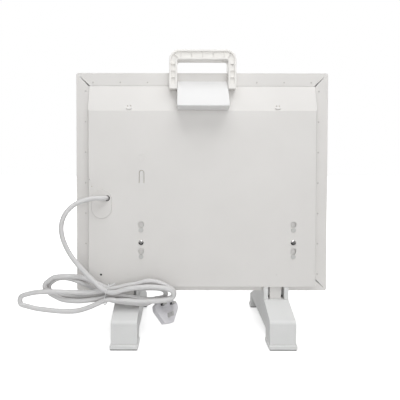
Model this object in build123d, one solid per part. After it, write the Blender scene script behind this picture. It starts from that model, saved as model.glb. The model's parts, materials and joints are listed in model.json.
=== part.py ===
from build123d import *
import os
from math import cos, hypot, pi, radians, sin, sqrt, tan

# An infrared panel heater that stands on two bridge feet, with its mains cord tied up behind it.
# +X is the panel's width, +Y points to its back, +Z is up. Millimetres.
# The origin is on the floor, midway between the feet and midway along them.

os.makedirs("parts", exist_ok=True)

# ---- sheet steel body ----
panel_wide = 600.0
panel_tall = 520.8
panel_deep = 28.0
panel_base = 101.8          # underside of the panel above the floor
panel_corner = 5.0
sheet = 1.0
rim_wide = 30.5             # return rim of the front pan, seen from behind
mitre_narrow = 0.5          # the mitre gap where it starts, near the corner
mitre_open = 2.6            # and where it meets the cover
mitre_start = 8.0           # its start, in from each outer edge

# ---- raised rear cover ----
cover_rise = 19.0           # its flat face stands this far behind the rim
cover_gap = 0.5             # between the cover's walls and the rim's window
cover_base = 116.3          # its lower wall above the floor
slope_drop = 91.3           # from the panel's top down to where the flat face turns into the slope
cover_bend = 3.0
under_rim = 21.0            # how far the cover's edge reaches under the rim

# ---- rivets round the rim ----
rivet_head = 4.2
rivet_shank = 2.4
rivet_proud = 0.9
rivets_top = 9
rivet_pitch_top = 65.0
rivets_side = 7
rivet_pitch_side = 73.0
rivet_inset = 22.0          # from the panel's edge
rivet_mid = 361.0           # height of the middle side rivet

# ---- feet ----
foot_length = 275.0
foot_behind = 95.0          # how far a foot reaches behind the rim
foot_apart = 350.0          # between the feet's middles
foot_wide = 58.0
foot_lip = 2.3              # lip round the base, each side
lip_tall = 11.0
foot_wall = 3.0
foot_back_tall = 62.0
shoulder_tall = 87.0        # top of the rear slope, at the prongs
arch_back = 47.0            # the arch's ends, behind the rim and in front of it
arch_front = 158.0
arch_back_tall = 28.0
arch_front_tall = 36.0
toe_tall = 36.0
prong_deep = 21.0
prong_wide = 10.0
seat_gap = 0.3              # between a foot and the panel that rests on it
pad_thick = 3.0
tongue_wide = 27.0
tongue_thick = 3.0
tongue_depth = 9.0          # its front face, behind the rim
tongue_top = 164.0
tongue_foot = 44.0
tongue_gap = 1.4            # in the cover's slot and in the socket

# ---- handle ----
handle_wide = 156.0
handle_rise = 50.2          # the bow's top above the panel
handle_leg = 18.7
handle_bar = 23.0
handle_front = 12.0         # how far the bar reaches in front of the rim's plane
handle_back = 28.0
handle_lap = 40.4           # how far the legs reach down over the panel
handle_corner = 24.0
handle_rib_pitch = 25.0
leg_rib_pitch = 15.5
channel_wall = 4.6          # beside the shallow channel that follows the bow
channel_deep = 3.5
channel_end = 80.0          # lower end of the channel, below the bow's top
leg_ribs_start = 33.6
leg_ribs = 3
rib_thick = 1.3

# ---- hood ----
hood_gap = 0.3
hood_drop = 20.9            # the hood's top, below the panel's top
hood_top_back = 8.0
hood_lip_rise = 9.2         # the hood's lip above the cover's crease
hood_reach = 66.0
hood_lip_tall = 2.1
hood_under_rise = 1.9       # and its lower wall, where it meets the cover
hood_nose = 3.0             # radius of the nose's upright corners
hood_wall = 2.2

# ---- keyholes and hanger rails ----
keyhole_places = (144.0, -215.0)
keyhole_heights = (264.1, 201.0)    # middles of the two large holes
keyhole_drop = 13.0
keyhole_hole = 14.0
keyhole_slot = 6.6
stud_head = 11.0
stud_shank = 6.0
lock_height = 222.0
lock_head = 12.5
rail_wide = 30.0
rail_low = 182.0
rail_high = 278.0
rail_deep = 6.0

# ---- cord entry ----
plate_x = 236.8
plate_z = 312.5
plate_wide = 47.6
plate_tall = 68.6
plate_thick = 2.0
plate_lap = 2.5             # how far it laps over the cover's opening
inlet_x = 223.4
inlet_z = 326.0
grommet_wall = 0.8
grommet_gap = 0.25          # round the cord

# ---- cord, with its hank ----
cord_dia = 11.0
cord_inner_end = 4.0        # where the cord ends inside, behind the rim's plane
layer_front = 62.0          # depth of the hank's layer furthest from the cover
layer_step = 11.8
tie_x = 219.5               # where the tie holds the hank
tie_wide = 2.4
tie_thick = 0.9
tie_gap = 0.5

# ---- plug ----
plug_long = 49.0
plug_wide = 59.0
plug_thick = 19.0
plug_cord_side = 40.0       # width of its straight side at the cord
plug_earth_side = 23.0      # and at its other end
pin_line = -17.0            # live and neutral pins, along the plug from its middle
pin_spread = 24.4           # between live and neutral, and from their line to the earth pin
pin_wide, pin_thick, pin_reach = 7.0, 4.4, 18.0
earth_wide, earth_thick, earth_reach = 8.8, 4.4, 23.0
sleeve_long, sleeve_wall = 10.0, 0.8
fuse_slot = (-10.0, -1.0)    # the carrier's slot, along the plug
fuse_dia, fuse_long = 6.3, 25.4
elbow_radius = 10.0         # the strain relief turns the cord aside on this radius
elbow_turn = 80.0
elbow_wide = (16.0, 13.6)   # its diameter at the plug and at the cord
plug_middle = (84.2, 60.8, 34.0)    # X, height, and depth behind the rim

# ---- derived ----
rim_y = foot_length / 2 - foot_behind
front_y = rim_y - panel_deep
panel_top = panel_base + panel_tall
cover_crease = panel_top - slope_drop
handle_top = panel_top + handle_rise
handle_foot = panel_top - handle_lap
hood_top = panel_top - hood_drop
hood_lip = cover_crease + hood_lip_rise
hood_under = cover_crease + hood_under_rise
inlet_hole = cord_dia + 2 * grommet_gap + 2 * grommet_wall
half_panel = panel_wide / 2
half_window = half_panel - rim_wide
window_top = panel_top - rim_wide
window_low = panel_base + rim_wide
half_cover = half_window - cover_gap
slope_top = window_top - cover_gap
slope_ratio = (slope_top - cover_crease) / cover_rise
slope_run = hypot(1, slope_ratio)
foot_places = {"left": foot_apart / 2, "right": -foot_apart / 2}

# ---- details of the cover, the hood and the parts inside ----
switch_z = 430.0
switch_depth = -panel_deep / 2
switch_tall = 20.8
switch_wide = 14.2
rail_screw = 5.0
screw_hole = 4.3
screw_shank = 3.9
board_side_gap = 32.0       # between the board and the pan's side
board_edge = 14.0
film_thick = 0.6
foil_thick = 0.3
board_back = -8.0
board_half = half_panel - board_side_gap
strap_wide = 26.0
strap_thick = 1.2
strap_places = (90.0, -90.0)
ring_x, ring_z, ring_dia = 142.6, 420.8, 18.0
lance_x, lance_low, lance_high, lance_wide = 142.7, 361.8, 392.0, 12.0
sensor_x, sensor_z, sensor_hole = 238.6, 144.8, 5.0
pin_marks = ((260.0, 353.4), (265.4, 370.1))
louvre_places = (172.5, -177.5)
louvre_wide, louvre_tall, louvre_proud = 15.0, 5.0, 2.2
louvre_rise = 5.2                           # its middle above the crease
lance_dot, lance_apart, lance_rise = 2.4, 7.2, 11.8
harness_x, harness_z = 4.0, cover_crease + 34.0
board_z, board_lift = cover_crease + 27.0, 14.0     # control board, in the hood
board_wide, board_tall = 74.0, 30.0
hood_screw_x, hood_screw_z = 48.0, cover_crease + 27.0
tongue_screw_heights = (tongue_foot + 9, tongue_foot + 26)
terminal_x = inlet_x - 42.4
terminal_z = inlet_z - 3.0
terminal_wide, terminal_tall, terminal_pitch = 26.0, 36.0, 11.0
terminal_bore = 4.4
wire_depth = board_back + 6.0
supply_core, film_lead = 2.6, 2.2
edge_room = 8.0                     # from the board's edge to the leads that go round it
cutout_z = 395.0
rocker_pivot = half_panel - 7.0
rocker_rest = 6.0
fuse_middle = (fuse_slot[0] + fuse_slot[1]) / 2
fuse_sunk = plug_thick / 2 - 5.0                            # the fuse's axis, out of the plug's middle plane


# ---- shaping helpers ----
def block(x, depth, z):
    """A box from (low, high) pairs; depth is measured backwards from the rim's rear face."""
    size = [pair[1] - pair[0] for pair in (x, depth, z)]
    middle = ((x[0] + x[1]) / 2, rim_y + (depth[0] + depth[1]) / 2, (z[0] + z[1]) / 2)
    return Pos(*middle) * Box(*size)


def round_y(x, z, dia, depth):
    """A round bar along Y, between two depths."""
    middle = rim_y + (depth[0] + depth[1]) / 2
    return Pos(x, middle, z) * Rot(90, 0, 0) * Cylinder(dia / 2, depth[1] - depth[0])


def side_shape(points, x):
    """A side profile of (depth, height) points, run across between two X places."""
    outline = Polyline(*[(x[0], rim_y + d, z) for d, z in points], close=True)
    return extrude(make_face(outline), amount=x[1] - x[0], dir=(1, 0, 0))


def back_shape(face, depth):
    """A flat face drawn in X and Z, thickened between two depths."""
    plane = Plane(origin=(0, rim_y + depth[1], 0), x_dir=(1, 0, 0), z_dir=(0, -1, 0))
    return extrude(plane * face, amount=depth[1] - depth[0])


def rounded(x, z, radius):
    return Pos((x[0] + x[1]) / 2, (z[0] + z[1]) / 2) * RectangleRounded(x[1] - x[0], z[1] - z[0], radius)


def tube_along(points, dia, radii=None):
    """A round wire or pipe along runs that are joined by tangent arcs."""
    path = FilletPolyline(*points, radius=radii)
    start = Plane(origin=path @ 0, z_dir=path % 0)
    return sweep(start * Circle(dia / 2), path=path)


def whole(name, shape):
    """Write one sub-part."""
    part = shape.solid()
    part.label = name
    export_step(part, f"parts/{name}.step")


def group(name, shapes):
    """Write a group of like pieces that share one node."""
    solids = [solid for shape in shapes for solid in shape.solids()]
    part = Compound(children=solids)
    part.label = name
    export_step(part, f"parts/{name}.step")


# ---- front pan ----
def rivet_places():
    top = [(rivet_pitch_top * (i - (rivets_top - 1) / 2), panel_top - rivet_inset) for i in range(rivets_top)]
    top = [(x, z) for x, z in top if abs(x) > handle_wide / 2 + rivet_head]      # none under the handle
    heights = [rivet_mid + rivet_pitch_side * (i - (rivets_side - 1) / 2) for i in range(rivets_side)]
    sides = [(side * (half_panel - rivet_inset), z) for side in (-1, 1) for z in heights]
    return top + sides


def handle_screw_places():
    middle = (handle_wide - handle_leg) / 2
    return [(side * middle, z) for side in (-1, 1) for z in (panel_top - 7.5, panel_top - 25)]


def mitre_gaps(depth):
    """One tapering slot at each corner, between two depths."""
    gaps = []
    for side in (-1, 1):
        for edge, way in ((panel_top, -1), (panel_base, 1)):
            start = (side * (half_panel - mitre_start), edge + way * mitre_start)
            end = (side * (half_window - 2), edge + way * (rim_wide + 2))
            along = (end[0] - start[0], end[1] - start[1])
            length = hypot(*along)
            across = (-along[1] / length, along[0] / length)
            corners = []
            for (x, z), width in ((start, mitre_narrow), (end, mitre_open)):
                corners += [(x - across[0] * width / 2, z - across[1] * width / 2),
                            (x + across[0] * width / 2, z + across[1] * width / 2)]
            a, b, d, c = corners
            gaps.append(back_shape(make_face(Polyline(a, b, c, d, close=True)), depth))
    return gaps


def front_pan():
    full = back_shape(rounded((-half_panel, half_panel), (panel_base, panel_top), panel_corner),
                      (-panel_deep, 0))
    full = fillet(full.faces().sort_by(Axis.Y)[0].edges(), panel_corner / 2)
    hollow = back_shape(
        rounded((-half_panel + sheet, half_panel - sheet), (panel_base + sheet, panel_top - sheet),
                panel_corner - sheet),
        (-panel_deep + sheet, -sheet))
    window = block((-half_window, half_window), (-sheet - 1, 1), (window_low, window_top))
    pan = full - hollow - window
    pan -= mitre_gaps((-sheet - 0.5, 0.5))
    pan -= [round_y(x, z, rivet_shank + 0.2, (-sheet - 1, 1)) for x, z in rivet_places()]
    pan -= [round_y(x, z, screw_hole, (-sheet - 1, 1)) for x, z in handle_screw_places()]
    pan -= block((half_panel - sheet - 1, half_panel + 1),
                 (switch_depth - switch_wide / 2, switch_depth + switch_wide / 2),
                 (switch_z - switch_tall / 2, switch_z + switch_tall / 2))
    return pan


# ---- what lies in the pan ----


def pan_layers():
    """Heating film, reflector foil and insulation board, from the front backwards."""
    low, high = panel_base + board_edge, panel_top - board_edge
    depth = -panel_deep + sheet
    film = block((-board_half, board_half), (depth, depth + film_thick), (low, high))
    depth += film_thick
    foil = block((-board_half, board_half), (depth, depth + foil_thick), (low, high))
    depth += foil_thick
    board = block((-board_half, board_half), (depth, board_back), (low, high))
    return film, foil, board


def board_retainers():
    """Two folded straps that hold the board down, with their ends under the rim."""
    straps = []
    low, high = panel_base + sheet + 2, panel_top - sheet - 2
    leg = 14.0
    end = -2 * sheet            # the ends lie under the cover's edge
    for x in strap_places:
        outline = [(board_back, low + leg), (board_back, high - leg), (end - strap_thick, high - leg),
                   (end - strap_thick, high), (end, high), (end, high - leg - strap_thick),
                   (board_back + strap_thick, high - leg - strap_thick),
                   (board_back + strap_thick, low + leg + strap_thick),
                   (end, low + leg + strap_thick), (end, low), (end - strap_thick, low),
                   (end - strap_thick, low + leg)]
        straps.append(side_shape(outline, (x - strap_wide / 2, x + strap_wide / 2)))
    return straps


# ---- rear cover ----
def slope_height(depth, inset=0.0):
    return cover_crease + (cover_rise - depth) * slope_ratio - inset * slope_run


def slope_depth(height, inset=0.0):
    return cover_rise - (height + inset * slope_run - cover_crease) / slope_ratio


def raised_form(inset, front):
    """The cover's raised block, inset all round by a wall."""
    top = slope_top - inset
    face = cover_rise - inset
    outline = [(front, cover_base + inset), (face, cover_base + inset), (face, slope_height(face, inset)),
               (slope_depth(top, inset), top), (front, top)]
    form = side_shape(outline, (-half_cover + inset, half_cover - inset))
    upright = [e for e in form.edges().filter_by(Axis.Z) if e.center().Y > rim_y + face - 0.1]
    return fillet(upright, cover_bend - inset / 2)


def keyhole(x, z, deeper=0.0):
    """A large hole with a slot below it, through the cover's face."""
    through = (cover_rise - sheet - 1, cover_rise + 1)
    cut = round_y(x, z, keyhole_hole, through)
    cut += round_y(x, z - keyhole_drop, keyhole_slot, through)
    return cut + block((x - keyhole_slot / 2, x + keyhole_slot / 2), through, (z - keyhole_drop, z))


def slope_plane(x, z, lift=0.0):
    """A plane on the cover's slope, facing out of it."""
    normal = Vector(0, slope_ratio, 1).normalized()
    base = Vector(x, rim_y + slope_depth(z), z) + normal * lift
    return Plane(origin=base, x_dir=(1, 0, 0), z_dir=normal)


def on_slope(x, z, dia, low, high):
    """A round bar square to the slope, between two heights above it."""
    return extrude(slope_plane(x, z, low) * Circle(dia / 2), amount=high - low)


def louvres():
    """Two small pressed hoods, low on the slope."""
    made = []
    for x in louvre_places:
        plane = slope_plane(x, cover_crease + louvre_rise)
        outline = Polyline((-louvre_wide / 2, -louvre_tall / 2), (louvre_wide / 2, -louvre_tall / 2),
                           (louvre_wide / 3, louvre_tall / 2), (-louvre_wide / 3,
                                                                louvre_tall / 2), close=True)
        made.append(extrude(plane * make_face(outline), amount=louvre_proud, taper=25))
    return made


def rear_cover():
    cover = raised_form(0, -2 * sheet)
    ring = block((-half_cover - under_rim, half_cover + under_rim), (-2 * sheet, -sheet),
                 (window_low + cover_gap, slope_top + under_rim))
    cover += ring
    cover -= raised_form(sheet, -3 * sheet)
    cover -= block((-half_panel, half_panel), (-3 * sheet, 0), (panel_base, window_low + cover_gap))
    cover -= mitre_gaps((-3 * sheet, -0.5 * sheet))
    cover += louvres()
    for x in keyhole_places:
        cover -= [keyhole(x, z) for z in keyhole_heights]
        cover -= round_y(x, lock_height, rail_screw + 0.5, (cover_rise - 3, cover_rise + 1))
    for x in louvre_places:
        cover -= [on_slope(x + side * lance_apart / 2, cover_crease + lance_rise, lance_dot, -3,
                           3) for side in (-1, 1)]
    for x in foot_places.values():
        half = tongue_wide / 2 + tongue_gap
        cover -= block((x - half, x + half), (tongue_depth - tongue_gap,
                                              tongue_depth + tongue_thick + tongue_gap),
                       (cover_base - 1, cover_base + sheet + 1))
        cover -= round_y(x, cover_base + 29, 2.0, (cover_rise - 3, cover_rise + 1))
    cover -= [round_y(x, z, rivet_shank + 0.2, (-3 * sheet, 0)) for x, z in rivet_places()]
    cover -= [round_y(x, z, screw_hole, (-3 * sheet, 0)) for x, z in handle_screw_places()]
    cover -= back_shape(plate_face(-plate_lap),
                        (cover_rise - 3, cover_rise + 1))
    cover -= round_y(sensor_x, sensor_z, sensor_hole, (cover_rise - 3, cover_rise + 1))
    cover -= [round_y(x, z, 2.2, (cover_rise - 3, cover_rise + 1)) for x, z in pin_marks]
    # embossed ring: a shallow groove
    cover -= (round_y(ring_x, ring_z, ring_dia, (cover_rise - 0.35, cover_rise + 1))
              - round_y(ring_x, ring_z, ring_dia - 1.6, (cover_rise - 1, cover_rise + 2)))
    # lanced tongue: a U-shaped cut with a round top
    lance = back_shape(lance_outline(0), (cover_rise - 3, cover_rise + 1))
    cover -= lance - back_shape(lance_outline(0.9), (cover_rise - 4, cover_rise + 2))
    cover -= on_slope(harness_x, harness_z, 10, -4, 4)
    cover -= [on_slope(side * hood_screw_x, hood_screw_z, screw_hole, -4, 4) for side in (-1, 1)]
    return cover


def lance_outline(inset):
    """The pressed tongue's outline: square at its root, round at its tip. The root stays joined."""
    half = lance_wide / 2 - inset
    tip = lance_high - inset
    face = Pos(lance_x, (lance_low + tip - half) / 2) * Rectangle(2 * half, tip - half - lance_low)
    return face + Pos(lance_x, tip - half) * Circle(half)


def rim_rivets():
    made = []
    for x, z in rivet_places():
        head = round_y(x, z, rivet_head, (0, rivet_proud))
        head = fillet(head.faces().sort_by(Axis.Y)[-1].edges(), rivet_proud * 0.7)
        tail = round_y(x, z, rivet_head, (-2 * sheet - 0.7, -2 * sheet))
        made.append(head + round_y(x, z, rivet_shank, (-2 * sheet, 0)) + tail)
    return made


# ---- handle ----
def handle_channel(half, inner):
    """The shallow channel round the bow, parted by thin ribs."""
    wall = channel_wall
    end = handle_top - channel_end
    outer_line = rounded((-half + wall, half - wall), (handle_foot - 60, handle_top - wall),
                         handle_corner - wall)
    inner_line = rounded((-inner - wall, inner + wall), (handle_foot - 60, handle_top - handle_bar + wall),
                         5 + wall)
    channel = outer_line - inner_line
    channel -= Pos(0, end - 100) * Rectangle(2 * half, 200)
    bar_middle = handle_top - handle_bar / 2
    for n in (-2, -1, 0, 1, 2):
        channel -= Pos(handle_rib_pitch * n, bar_middle) * Rectangle(rib_thick, handle_bar)
    for side in (-1, 1):
        corner = Pos(side * (half - handle_leg / 2 - 2), bar_middle + 2) * Rot(0, 0, side * 45)
        channel -= corner * Rectangle(2 * handle_leg, rib_thick)
        for n in range(leg_ribs):
            height = handle_top - leg_ribs_start - leg_rib_pitch * n
            channel -= Pos(side * (half - handle_leg / 2), height) * Rectangle(handle_leg, rib_thick)
    return channel


def handle():
    half = handle_wide / 2
    inner = half - handle_leg
    outline = rounded((-half, half), (handle_foot - 60, handle_top), handle_corner)
    outline -= Pos(0, handle_foot - 60) * Rectangle(2 * half + 2, 120)
    opening = rounded((-inner, inner), (handle_foot - 60, handle_top - handle_bar), 5)
    bow = back_shape(outline - opening, (-handle_front, handle_back))
    bow -= block((-half - 1, half + 1), (-handle_front - 1, 0), (handle_foot - 1, panel_top + seat_gap))
    bow -= side_shape([(0, slope_top), (slope_depth(handle_foot - 5), handle_foot - 5), (-1, handle_foot - 5),
                       (-1, slope_top)], (-half - 1, half + 1))
    bow = fillet(bow.faces().sort_by(Axis.Y)[-1].outer_wire().edges().filter_by(GeomType.CIRCLE), 1.0)
    bow -= back_shape(handle_channel(half, inner), (handle_back - channel_deep, handle_back + 1))
    bow -= [round_y(x, z, screw_shank + 0.1, (-1, 14)) for x, z in handle_screw_places()]
    return bow


def screw_in(x, z, head_dia, depth, reach, head_tall=2.2):
    """A pan-head screw along Y, its head at depth and its shank reaching backwards."""
    head = round_y(x, z, head_dia, (depth - head_tall, depth))
    return head + round_y(x, z, screw_shank, (depth, reach))


# ---- hood and what is in it ----
def hood_profile():
    """The wedge's side profile, carried on in front of the cover's slope, where it is cut off later."""
    hidden = -12.0
    nose_low = hood_lip - hood_lip_tall
    fall = (nose_low - hood_under) / (hood_reach - slope_depth(hood_under))
    outline = [(hidden, hood_top), (hood_top_back, hood_top), (hood_reach, hood_lip), (hood_reach, nose_low),
               (hidden, nose_low - fall * (hood_reach - hidden))]
    return make_face(Polyline(*[(0, rim_y + d, z) for d, z in outline], close=True))


def hood_shell():
    half = handle_wide / 2 - handle_leg - hood_gap
    form = Pos(-half, 0, 0) * extrude(hood_profile(), amount=2 * half, dir=(1, 0, 0))
    nose = [e for e in form.edges()
            if e.center().Y > rim_y + hood_reach - 0.5 and abs(e.center().X) > half - 0.5]
    form = fillet(nose, hood_nose)
    inner = half - hood_wall
    inside = offset(hood_profile(), amount=-hood_wall, kind=Kind.INTERSECTION)
    inside = Pos(-inner, 0, 0) * extrude(inside, amount=2 * inner, dir=(1, 0, 0))
    low = hood_under - 8
    front = side_shape([(-20, hood_top + 5), (0, hood_top + 5), (0, slope_top), (slope_depth(low), low),
                        (-20, low)],
                       (-half - 1, half + 1))
    bosses = [on_slope(side * hood_screw_x, hood_screw_z, 9, 0, hood_reach) & form for side in (-1, 1)]
    shell = form - inside + bosses - front
    return shell - [on_slope(side * hood_screw_x, hood_screw_z, screw_shank + 0.1, -1, 13) for side in (-1,
                                                                                                        1)]


def hood_screws():
    made = []
    for side in (-1, 1):
        x = side * hood_screw_x
        made.append(on_slope(x, hood_screw_z, screw_shank, -sheet - 0.01, 12)
                    + on_slope(x, hood_screw_z, 7.5, -sheet - 2.2, -sheet))
    return made


def control_board():
    board = extrude(slope_plane(0, board_z, board_lift) * RectangleRounded(board_wide, board_tall, 2),
                    amount=1.6)
    reach = board_wide / 2 - 5
    posts = [extrude(slope_plane(side * reach, board_z) * Circle(3), amount=board_lift) for side in (-1, 1)]
    return board + posts


def board_parts():
    """Relay, driver and capacitor, on the inner side of the control board."""
    base = slope_plane(0, board_z, board_lift)
    relay = extrude(base * Pos(-17, 0) * Rectangle(19, 15), amount=-11)
    chip = extrude(base * Pos(4, 8) * Rectangle(9, 7), amount=-2)
    capacitor = extrude(base * Pos(19, 1) * Circle(4.5), amount=-10)
    return [relay, chip, capacitor]


# ---- hanger rails, studs and locking screws ----
def hanger_rail(x):
    """A top-hat channel inside the cover, its feet against the cover's face."""
    face = cover_rise - sheet
    half = rail_wide / 2
    wall = 1.2
    foot = 7.0
    z = (rail_low, rail_high)
    rail = block((x - half, x + half), (face - rail_deep, face), z)
    rail -= block((x - half + wall, x + half - wall), (face - rail_deep + wall, face + 1), (rail_low - 1,
                                                                                            rail_high + 1))
    for side in (-1, 1):
        span = sorted((x + side * (half - wall), x + side * (half + foot)))
        rail += block(span, (face - wall, face), z)
    for z_hole in keyhole_heights:
        rail -= round_y(x, z_hole - keyhole_drop, stud_shank - 0.98, (0, cover_rise))
    rail -= round_y(x, lock_height, rail_screw + 0.1, (0, cover_rise))
    return rail


def rail_studs():
    web = cover_rise - sheet - rail_deep
    made = []
    for x in keyhole_places:
        for z in keyhole_heights:
            z_stud = z - keyhole_drop
            stud = round_y(x, z_stud, stud_shank - 1, (web - 0.8, web + 1.2))
            stud += round_y(x, z_stud, stud_shank, (web + 1.2, cover_rise + 0.1))
            head = round_y(x, z_stud, stud_head, (cover_rise + 0.1, cover_rise + 1.9))
            head = fillet(head.faces().sort_by(Axis.Y)[-1].edges(), 0.6)
            made.append(stud + head)
    return made


def lock_screws():
    web = cover_rise - sheet - rail_deep
    made = []
    for x in keyhole_places:
        head = round_y(x, lock_height, lock_head, (cover_rise, cover_rise + 3.4))
        head = fillet(head.faces().sort_by(Axis.Y)[-1].edges(), 3.0)
        head -= block((x - 3.6, x + 3.6), (cover_rise + 2, cover_rise + 4), (lock_height - 0.6,
                                                                             lock_height + 0.6))
        head -= block((x - 0.6, x + 0.6), (cover_rise + 2, cover_rise + 4), (lock_height - 3.6,
                                                                             lock_height + 3.6))
        made.append(head + round_y(x, lock_height, rail_screw, (web - 2.5, cover_rise)))
    return made


# ---- feet ----
def foot_profile(wall):
    """Side profile of a foot's bridge, from the rear round to the front and back under the arch."""
    back = foot_behind - foot_lip - 2.7 - wall
    toe = -(foot_length - foot_behind) + foot_lip + 2.7 + wall
    crest = panel_base - seat_gap
    slope = (shoulder_tall - foot_back_tall) / (back + wall - prong_deep - 3)
    front_end = -panel_deep - 6
    front_fall = (crest - toe_tall) / (front_end - (toe - wall))
    top = [(back, foot_back_tall - wall * hypot(1, slope) + wall * slope), (prong_deep + 3,
                                                                            shoulder_tall - wall),
           (0.4 + wall, shoulder_tall - wall)]
    saddle = [(0.4 - wall, crest - wall), (front_end, crest - wall)]
    if not wall:
        saddle = [(0.4, crest), (front_end, crest)]
    nose = [(toe, toe_tall - wall * hypot(1, front_fall) + wall * front_fall)]
    floor = pad_thick if not wall else pad_thick - 1
    under = [(toe, floor), (-arch_front - wall, floor), (-arch_front + 6 - wall, arch_front_tall + wall),
             (arch_back - 6 + wall, arch_back_tall + wall), (arch_back + wall, floor), (back, floor)]
    return top + saddle + nose + under


def foot_shell(x):
    half = foot_wide / 2
    foot = side_shape(foot_profile(0), (x - half, x + half))
    rear_edge = [e for e in foot.edges().filter_by(Axis.X)
                 if abs(e.center().Z - foot_back_tall) < 0.5 and e.center().Y > rim_y + 60]
    foot = fillet(rear_edge, 9)
    for low, high in ((arch_back - 1, foot_behind), (-(foot_length - foot_behind), -arch_front + 1)):
        lip = block((x - half - foot_lip, x + half + foot_lip), (low, high), (pad_thick, lip_tall))
        lip = fillet(lip.edges().filter_by(Axis.Z), 3)
        foot += chamfer(lip.faces().sort_by(Axis.Z)[-1].edges(), 1.2)
    foot -= side_shape(foot_profile(foot_wall), (x - half + foot_wall, x + half - foot_wall))
    for side in (-1, 1):
        span = sorted((x + side * (half), x + side * (half - prong_wide)))
        prong = block(span, (0.4, prong_deep), (shoulder_tall - 2, cover_base - seat_gap))
        foot += chamfer(prong.faces().sort_by(Axis.Z)[-1].edges(), 0.8)
    boss_half = tongue_wide / 2 + 3
    boss_back = tongue_depth + tongue_thick
    foot += block((x - boss_half, x + boss_half), (boss_back, boss_back + 9), (tongue_foot - 2,
                                                                               shoulder_tall - 1))
    foot -= block((x - tongue_wide / 2 - 0.2, x + tongue_wide / 2 + 0.2),
                  (tongue_depth - 0.2, boss_back), (tongue_foot - 3, shoulder_tall + 1))
    foot -= [round_y(x, z, screw_shank + 0.1, (boss_back - 1, boss_back + 8)) for z in tongue_screw_heights]
    return foot


def foot_bracket(x):
    """The steel tongue that rises from a foot into its socket behind the cover."""
    half = tongue_wide / 2
    tongue = block((x - half, x + half), (tongue_depth, tongue_depth + tongue_thick - 0.05), (tongue_foot,
                                                                                              tongue_top))
    tongue = chamfer([e for e in tongue.edges().filter_by(Axis.Y) if e.center().Z > tongue_top - 1], 4)
    return tongue - [round_y(x, z, screw_hole, (0, 20)) for z in tongue_screw_heights]


def foot_pads(x):
    """Rubber soles that close the two pads of a foot."""
    half = foot_wide / 2 + foot_lip - 1.5
    made = []
    rear_span = (arch_back + 1, foot_behind - 1.5)
    toe_span = (foot_behind - foot_length + 1.5, -arch_front - 1)
    for low, high in (rear_span, toe_span):
        pad = block((x - half, x + half), (low, high), (0, pad_thick))
        made.append(fillet(pad.edges().filter_by(Axis.Z), 2))
    return made


def foot_socket(x):
    """A folded channel inside the cover that guides the foot's tongue."""
    face = cover_rise - sheet
    half = tongue_wide / 2 + tongue_gap
    wall = 1.2
    z = (cover_base + sheet + 0.5, tongue_top + 8)
    front = tongue_depth - tongue_gap
    socket = block((x - half - wall, x + half + wall), (front - wall, face), z)
    socket -= block((x - half, x + half), (front, face + 1), (z[0] - 1, z[1] + 1))
    for side in (-1, 1):
        ear = sorted((x + side * half, x + side * (half + 9)))
        socket += block(ear, (face - wall, face), z)
    return socket


# ---- cord entry ----
def plate_face(grow):
    """The cord plate's stadium outline, larger all round by grow."""
    return Pos(plate_x, plate_z) * Rot(0, 0, 90) * SlotOverall(plate_tall + 2 * grow, plate_wide + 2 * grow)


def cord_cover_plate():
    plate = back_shape(plate_face(0), (cover_rise, cover_rise + plate_thick))
    plate = fillet(plate.faces().sort_by(Axis.Y)[-1].edges(), 0.8)
    reach = plate_tall / 2 - plate_lap
    for way in (-1, 1):         # a snap hook at each end, behind the cover's face
        leg = sorted((plate_z + way * (reach - 1.2), plate_z + way * (reach - 3)))
        nib = sorted((plate_z + way * (reach - 3), plate_z + way * (reach + 1)))
        plate += block((plate_x - 5, plate_x + 5), (cover_rise - sheet - 1.8, cover_rise), leg)
        plate += block((plate_x - 5, plate_x + 5), (cover_rise - sheet - 1.8, cover_rise - sheet - 0.1), nib)
    return plate - round_y(inlet_x, inlet_z, inlet_hole, (cover_rise - 1, cover_rise + 4))


def cord_grommet():
    ring = round_y(inlet_x, inlet_z, inlet_hole - 0.1, (cover_rise - 0.6, cover_rise + plate_thick - 0.4))
    return ring - round_y(inlet_x, inlet_z, cord_dia + 0.5, (cover_rise - 5, cover_rise + 5))


def cord_clamp():
    clamp = block((inlet_x - 12, inlet_x + 12), (cord_inner_end + 1, cord_inner_end + 9), (inlet_z - 7,
                                                                                           inlet_z + 7))
    clamp -= round_y(inlet_x, inlet_z, cord_dia + 0.1, (0, cover_rise))
    clamp += block((inlet_x, inlet_x + 12), (cord_inner_end + 1, cord_inner_end + 9), (inlet_z - 15,
                                                                                       inlet_z - 6))
    return clamp + block((inlet_x, inlet_x + 12), (board_back, cord_inner_end + 1), (inlet_z - 15,
                                                                                     inlet_z - 9))


# ---- parts behind the board ----


def terminal_block():
    half = terminal_wide / 2
    body = block((terminal_x - half, terminal_x + half), (board_back, 6),
                 (terminal_z - terminal_tall / 2, terminal_z + terminal_tall / 2))
    for i in (-1, 0, 1):
        z = terminal_z + terminal_pitch * i
        body -= block((terminal_x - half - 1, terminal_x + half + 1),
                      (wire_depth - terminal_bore / 2, wire_depth + terminal_bore / 2),
                      (z - terminal_bore / 2, z + terminal_bore / 2))
        body -= round_y(terminal_x, z, 4.5, (2, 8))
    return body


def supply_cores():
    """Three cores from the cord's end to the terminal block."""
    made = []
    entry = terminal_x + terminal_wide / 2
    y = rim_y + wire_depth
    for i in (-1, 0, 1):
        x, z = inlet_x + 0.6 * i, inlet_z + 2.9 * i
        pole = terminal_z + terminal_pitch * i
        made.append(tube_along([(x, rim_y + cord_inner_end, z), (x, y, z), (entry + 12, y, pole), (entry,
                                                                                                   y, pole)],
                               supply_core, 3.5))
    return made


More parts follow.
